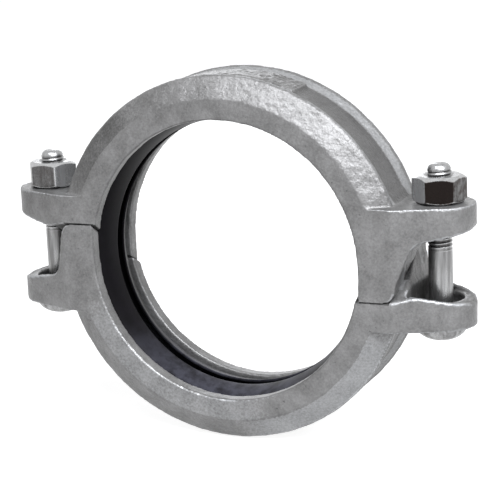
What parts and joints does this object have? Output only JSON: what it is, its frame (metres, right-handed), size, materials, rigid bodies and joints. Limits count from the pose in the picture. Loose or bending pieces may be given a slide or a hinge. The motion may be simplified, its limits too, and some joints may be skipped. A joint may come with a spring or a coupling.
{
  "type": "rigid grooved pipe coupling",
  "caption": "Rigid grooved pipe coupling: cast half housings with slanted pads and a rubber gasket, clamped round grooved pipe ends by track bolts and heavy hex nuts.",
  "frame": {"origin": "centre of the bore, half way across the width of the housings", "axes": "+Y along the pipe, +X from the centre to the right bolt, +Z along the bolts towards their nuts"},
  "size_m": [0.285, 0.058, 0.215],
  "materials": {
    "housing": "hot-dip galvanised, rough as cast, dull silver grey",
    "gasket": "smooth black moulded rubber",
    "bolt": "zinc plated steel, bright",
    "nut": "zinc plated steel, slightly stained"
  },
  "bodies": {
    "lower_half": {"lower_housing": "housing", "gasket": "gasket", "left_bolt": "bolt", "right_bolt": "bolt"},
    "upper_half": {"upper_housing": "housing"},
    "left_nut": {"left_nut": "nut"},
    "right_nut": {"right_nut": "nut"}
  },
  "joints": [
    {"name": "upper_housing_lift", "type": "slide", "parent": "lower_half", "child": "upper_half", "axis": [0, 0, 1], "range_m": [0, 0.01847]},
    {"name": "left_nut_turn", "type": "hinge", "parent": "upper_half", "child": "left_nut", "pos_m": [-0.122, 0, 0.035], "axis": [0, 0, 1], "range_deg": [0, 2880]},
    {"name": "right_nut_turn", "type": "hinge", "parent": "upper_half", "child": "right_nut", "pos_m": [0.122, 0, 0.035], "axis": [0, 0, 1], "range_deg": [0, 2880]}
  ],
  "couplings": [
    {"joint": "left_nut_turn", "follows": "upper_housing_lift", "rad_per_m": 2721.2},
    {"joint": "right_nut_turn", "follows": "upper_housing_lift", "rad_per_m": 2721.2}
  ]
}
